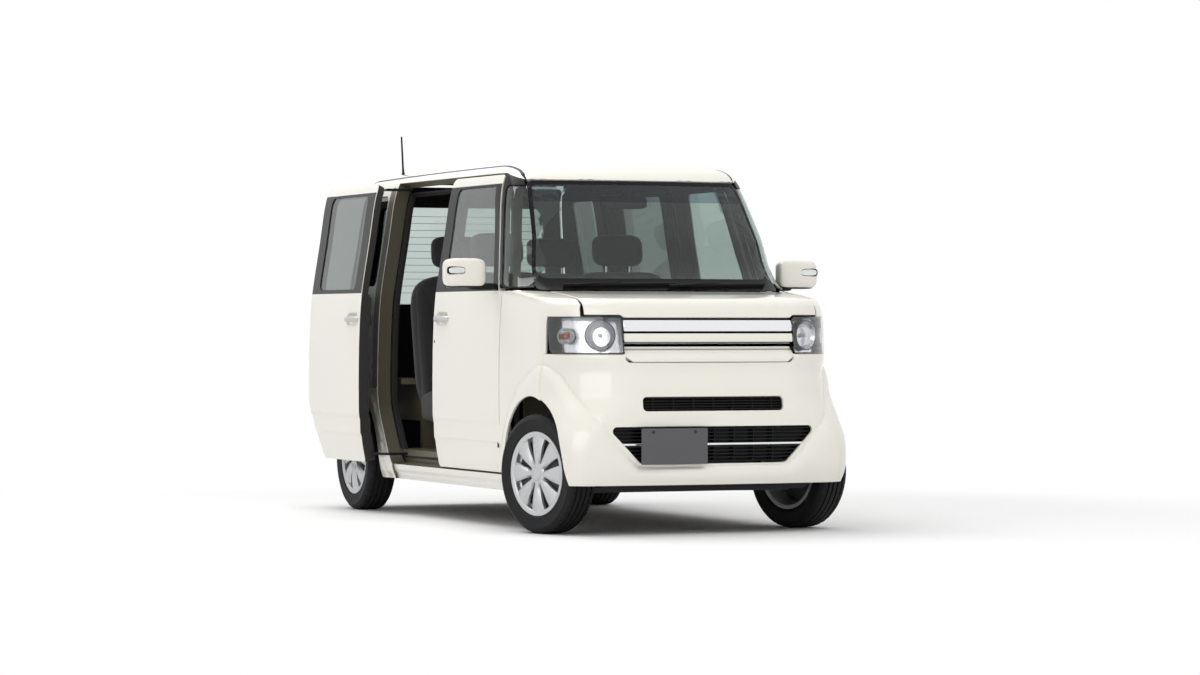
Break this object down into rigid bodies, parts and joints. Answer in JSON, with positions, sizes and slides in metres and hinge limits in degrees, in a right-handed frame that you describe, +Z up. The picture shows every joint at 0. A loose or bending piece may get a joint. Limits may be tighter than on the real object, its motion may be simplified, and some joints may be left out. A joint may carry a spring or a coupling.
{
  "type": "kei car",
  "caption": "Tall, boxy kei car with hinged front doors, sliding rear doors, a lifting tailgate, steered front wheels and a short bonnet; one sliding door stands open.",
  "frame": {"origin": "on the ground under the middle of the body, on its centre plane", "axes": "+X forward, +Y to the car's left, +Z up"},
  "size_m": [3.3881, 1.95, 1.9714],
  "materials": {
    "paint": "gloss cream-white paint",
    "bright": "bright plated",
    "black": "black grained plastic",
    "structure": "dark undercoat",
    "engine_metal": "cast",
    "exhaust_metal": "dull steel",
    "lamp_bowl": "silvered bowl",
    "lens": "clear cover",
    "glass": "tinted",
    "red_lens": "red lens",
    "cloth": "dark cloth",
    "cover": "silver paint",
    "tyre": "black rubber"
  },
  "bodies": {
    "shell": {"floor_pan": "structure", "body_side_right": "paint", "body_side_left": "paint", "roof_panel": "paint", "wings": "paint", "front_bumper": "paint", "grille_bars": "paint", "grille_trim": "bright", "intake_grilles": "black", "headlamp_bowls": "lamp_bowl", "headlamp_lenses": "lens", "windscreen": "glass", "cowl": "black", "sliding_door_right": "paint", "sliding_door_left": "paint", "sliding_door_glass": "glass", "slide_gear": "black", "quarter_glass": "glass", "rear_bumper": "paint", "tail_lamps": "red_lens", "hinges": "structure", "front_seats": "cloth", "rear_seat": "cloth", "dashboard": "black", "engine": "engine_metal", "exhaust": "exhaust_metal", "front_suspension": "structure", "rear_axle": "structure", "aerial": "black"},
    "bonnet": {"bonnet": "paint"},
    "front_door_right": {"front_door_right": "paint", "front_door_glass_right": "glass", "mirror_right": "paint"},
    "front_door_left": {"front_door_left": "paint", "front_door_glass_left": "glass", "mirror_left": "paint"},
    "tailgate": {"tailgate": "paint", "tailgate_glass": "glass"},
    "steering_wheel": {"steering_wheel": "black"},
    "knuckle_right": {"knuckle_right": "structure"},
    "knuckle_left": {"knuckle_left": "structure"},
    "wheel_front_right": {"wheel_front_right": "cover", "tyre_front_right": "tyre"},
    "wheel_front_left": {"wheel_front_left": "cover", "tyre_front_left": "tyre"},
    "wheel_rear_right": {"wheel_rear_right": "cover", "tyre_rear_right": "tyre"},
    "wheel_rear_left": {"wheel_rear_left": "cover", "tyre_rear_left": "tyre"}
  },
  "joints": [
    {"name": "steer_left", "type": "hinge", "parent": "shell", "child": "knuckle_left", "pos_m": [1.2075, 0.58, 0.2795], "axis": [0, -0.2079, 0.9781], "range_deg": [-51, 19]},
    {"name": "steer_right", "type": "hinge", "parent": "shell", "child": "knuckle_right", "pos_m": [1.2075, -0.58, 0.2795], "axis": [0, 0.2079, 0.9781], "range_deg": [-51, 19]},
    {"name": "steering_wheel_turn", "type": "hinge", "parent": "shell", "child": "steering_wheel", "pos_m": [0.58004, -0.33, 0.98502], "axis": [-0.8988, 0, 0.4384], "range_deg": [-102, 38]},
    {"name": "front_left_spin", "type": "hinge", "parent": "knuckle_left", "child": "wheel_front_left", "pos_m": [1.18728, 0.65222, 0.27891], "axis": [-0.2696, 0.9629, -0.0079], "continuous": true},
    {"name": "front_right_spin", "type": "hinge", "parent": "knuckle_right", "child": "wheel_front_right", "pos_m": [1.22772, -0.65222, 0.27891], "axis": [-0.2696, 0.9629, 0.0079], "continuous": true},
    {"name": "rear_left_spin", "type": "hinge", "parent": "shell", "child": "wheel_rear_left", "pos_m": [-1.3125, 0.655, 0.2785], "axis": [0, 1, 0], "continuous": true},
    {"name": "rear_right_spin", "type": "hinge", "parent": "shell", "child": "wheel_rear_right", "pos_m": [-1.3125, -0.655, 0.2785], "axis": [0, 1, 0], "continuous": true},
    {"name": "front_door_right_swing", "type": "hinge", "parent": "shell", "child": "front_door_right", "pos_m": [0.741, -0.7085, 0.645], "axis": [0, 0, 1], "range_deg": [0, 65]},
    {"name": "front_door_left_swing", "type": "hinge", "parent": "shell", "child": "front_door_left", "pos_m": [0.741, 0.7085, 0.645], "axis": [0, 0, -1], "range_deg": [0, 65]},
    {"name": "bonnet_lift", "type": "hinge", "parent": "shell", "child": "bonnet", "pos_m": [1.09998, 0, 1.09203], "axis": [0, -1, 0], "range_deg": [0, 50]},
    {"name": "tailgate_lift", "type": "hinge", "parent": "shell", "child": "tailgate", "pos_m": [-1.56815, 0, 1.673], "axis": [0, 1, 0], "range_deg": [0, 80]}
  ],
  "couplings": [
    {"joint": "steer_right", "follows": "steer_left", "ratio": 1},
    {"joint": "steering_wheel_turn", "follows": "steer_left", "ratio": 2}
  ]
}
